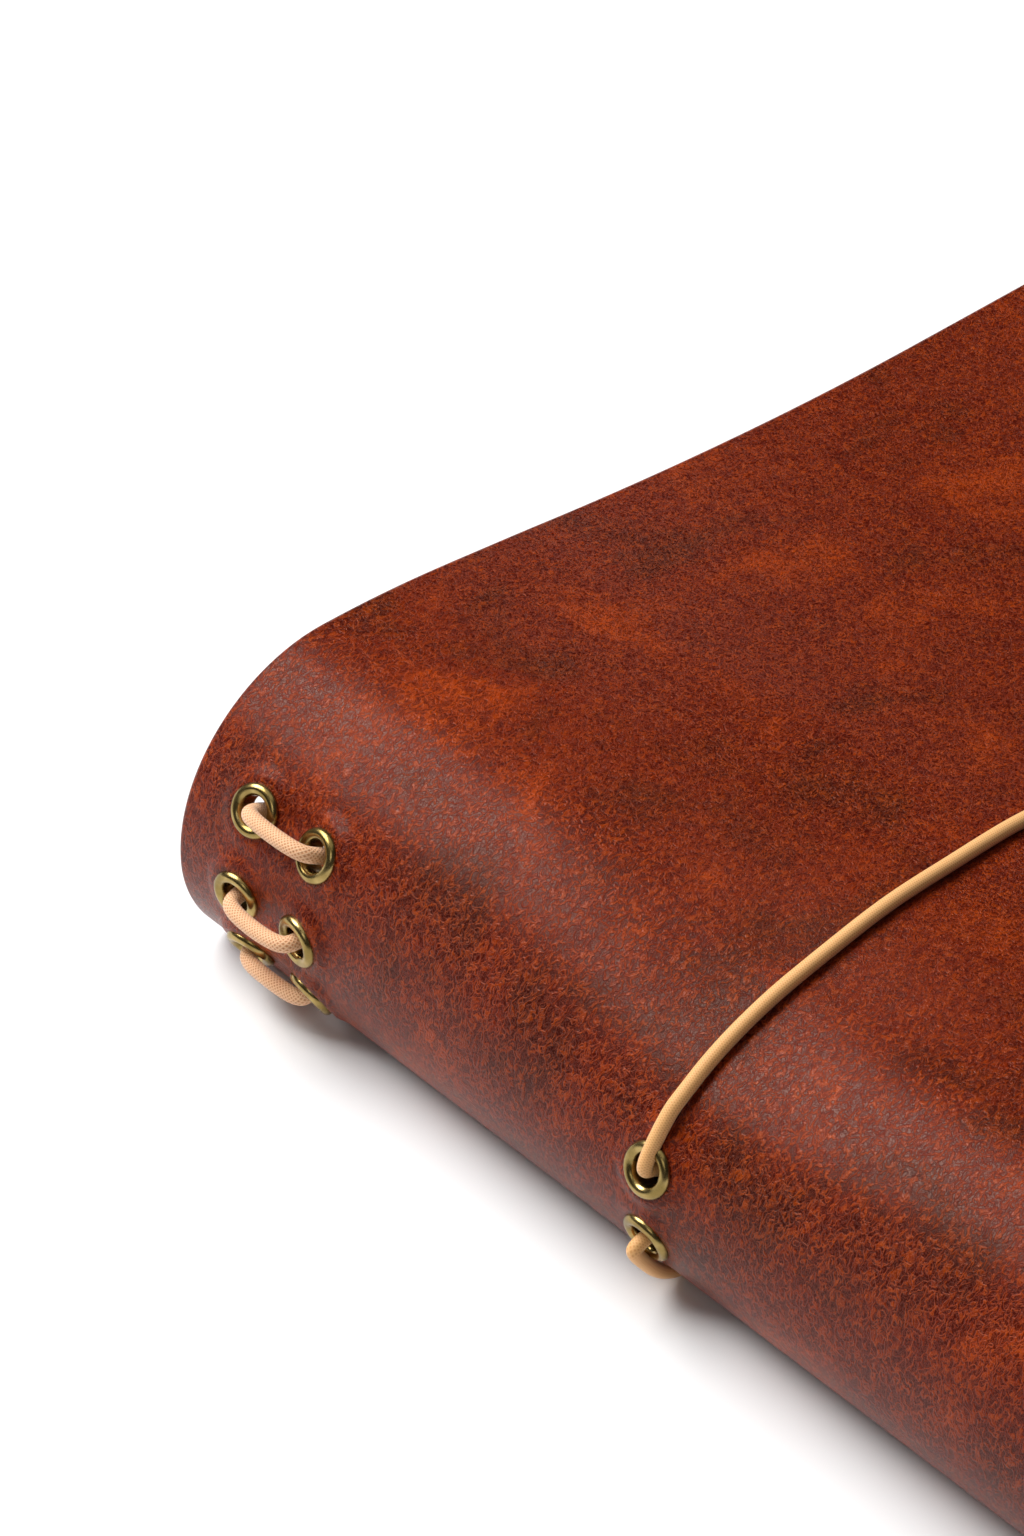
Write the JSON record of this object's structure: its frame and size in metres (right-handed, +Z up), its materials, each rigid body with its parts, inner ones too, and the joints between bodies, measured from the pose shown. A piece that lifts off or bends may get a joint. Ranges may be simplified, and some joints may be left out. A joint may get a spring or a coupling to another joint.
{
  "type": "brush roll case",
  "caption": "Leather folio case for brushes: rounded spine with laced brass eyelets, hinged leaves with brush channels, and an elastic band round the closed covers.",
  "frame": {"origin": "middle of the closed case's box, on the surface it lies on", "axes": "+Z up through the thickness, +Y along the spine to its far end, +X from the spine to the fore-edge"},
  "size_m": [0.2126, 0.222, 0.0529],
  "materials": {
    "cover_leather": "burnished pull-up leather, fine pebbled grain, satin",
    "eyelet_brass": "antiqued satin",
    "washer_brass": "plain stamped",
    "leaf_cord": "braided sleeve over rubber",
    "closure_cord": "braided sleeve over rubber, stretched smooth",
    "panel_leather": "vegetable-tanned, natural",
    "pocket_leather": "soft vegetable-tanned",
    "binding_leather": "dark edge strip"
  },
  "bodies": {
    "back_cover": {"back_cover": "cover_leather", "closure_elastic": "closure_cord"},
    "spine": {"spine": "cover_leather", "far_eyelets": "eyelet_brass", "near_eyelets": "eyelet_brass", "closure_eyelets": "eyelet_brass", "far_washers": "washer_brass", "near_washers": "washer_brass", "closure_washers": "washer_brass", "upper_leaf_elastic": "leaf_cord", "middle_leaf_elastic": "leaf_cord", "lower_leaf_elastic": "leaf_cord"},
    "front_cover": {"front_cover": "cover_leather"},
    "upper_leaf": {"upper_leaf_panel": "panel_leather", "upper_leaf_pocket": "pocket_leather", "upper_leaf_binding": "binding_leather"},
    "middle_leaf": {"middle_leaf_panel": "panel_leather", "middle_leaf_pocket": "pocket_leather", "middle_leaf_binding": "binding_leather"},
    "lower_leaf": {"lower_leaf_panel": "panel_leather", "lower_leaf_pocket": "pocket_leather", "lower_leaf_binding": "binding_leather"}
  },
  "joints": [
    {"name": "spine_fold", "type": "hinge", "parent": "back_cover", "child": "spine", "pos_m": [-0.09509, 0, 0.00234], "axis": [0, -1, 0], "range_deg": [0, 48], "deforming": ["closure_elastic"]},
    {"name": "cover_fold", "type": "hinge", "parent": "spine", "child": "front_cover", "pos_m": [-0.09109, 0, 0.04329], "axis": [0, -1, 0], "range_deg": [0, 142.4]},
    {"name": "upper_leaf_turn", "type": "hinge", "parent": "spine", "child": "upper_leaf", "pos_m": [-0.09087, 0, 0.03178], "axis": [0, -1, 0], "range_deg": [0, 46.1]},
    {"name": "middle_leaf_turn", "type": "hinge", "parent": "spine", "child": "middle_leaf", "pos_m": [-0.09428, 0, 0.02104], "axis": [0, -1, 0], "range_deg": [0, 4.1]},
    {"name": "lower_leaf_turn", "type": "hinge", "parent": "spine", "child": "lower_leaf", "pos_m": [-0.09284, 0, 0.01257], "axis": [0, -1, 0], "range_deg": [-39.1, 0]}
  ],
  "couplings": [
    {"joint": "cover_fold", "follows": "spine_fold", "ratio": 2.9646},
    {"joint": "upper_leaf_turn", "follows": "spine_fold", "ratio": 0.9583},
    {"joint": "middle_leaf_turn", "follows": "spine_fold", "ratio": 0.0833},
    {"joint": "lower_leaf_turn", "follows": "spine_fold", "ratio": -0.8125}
  ]
}
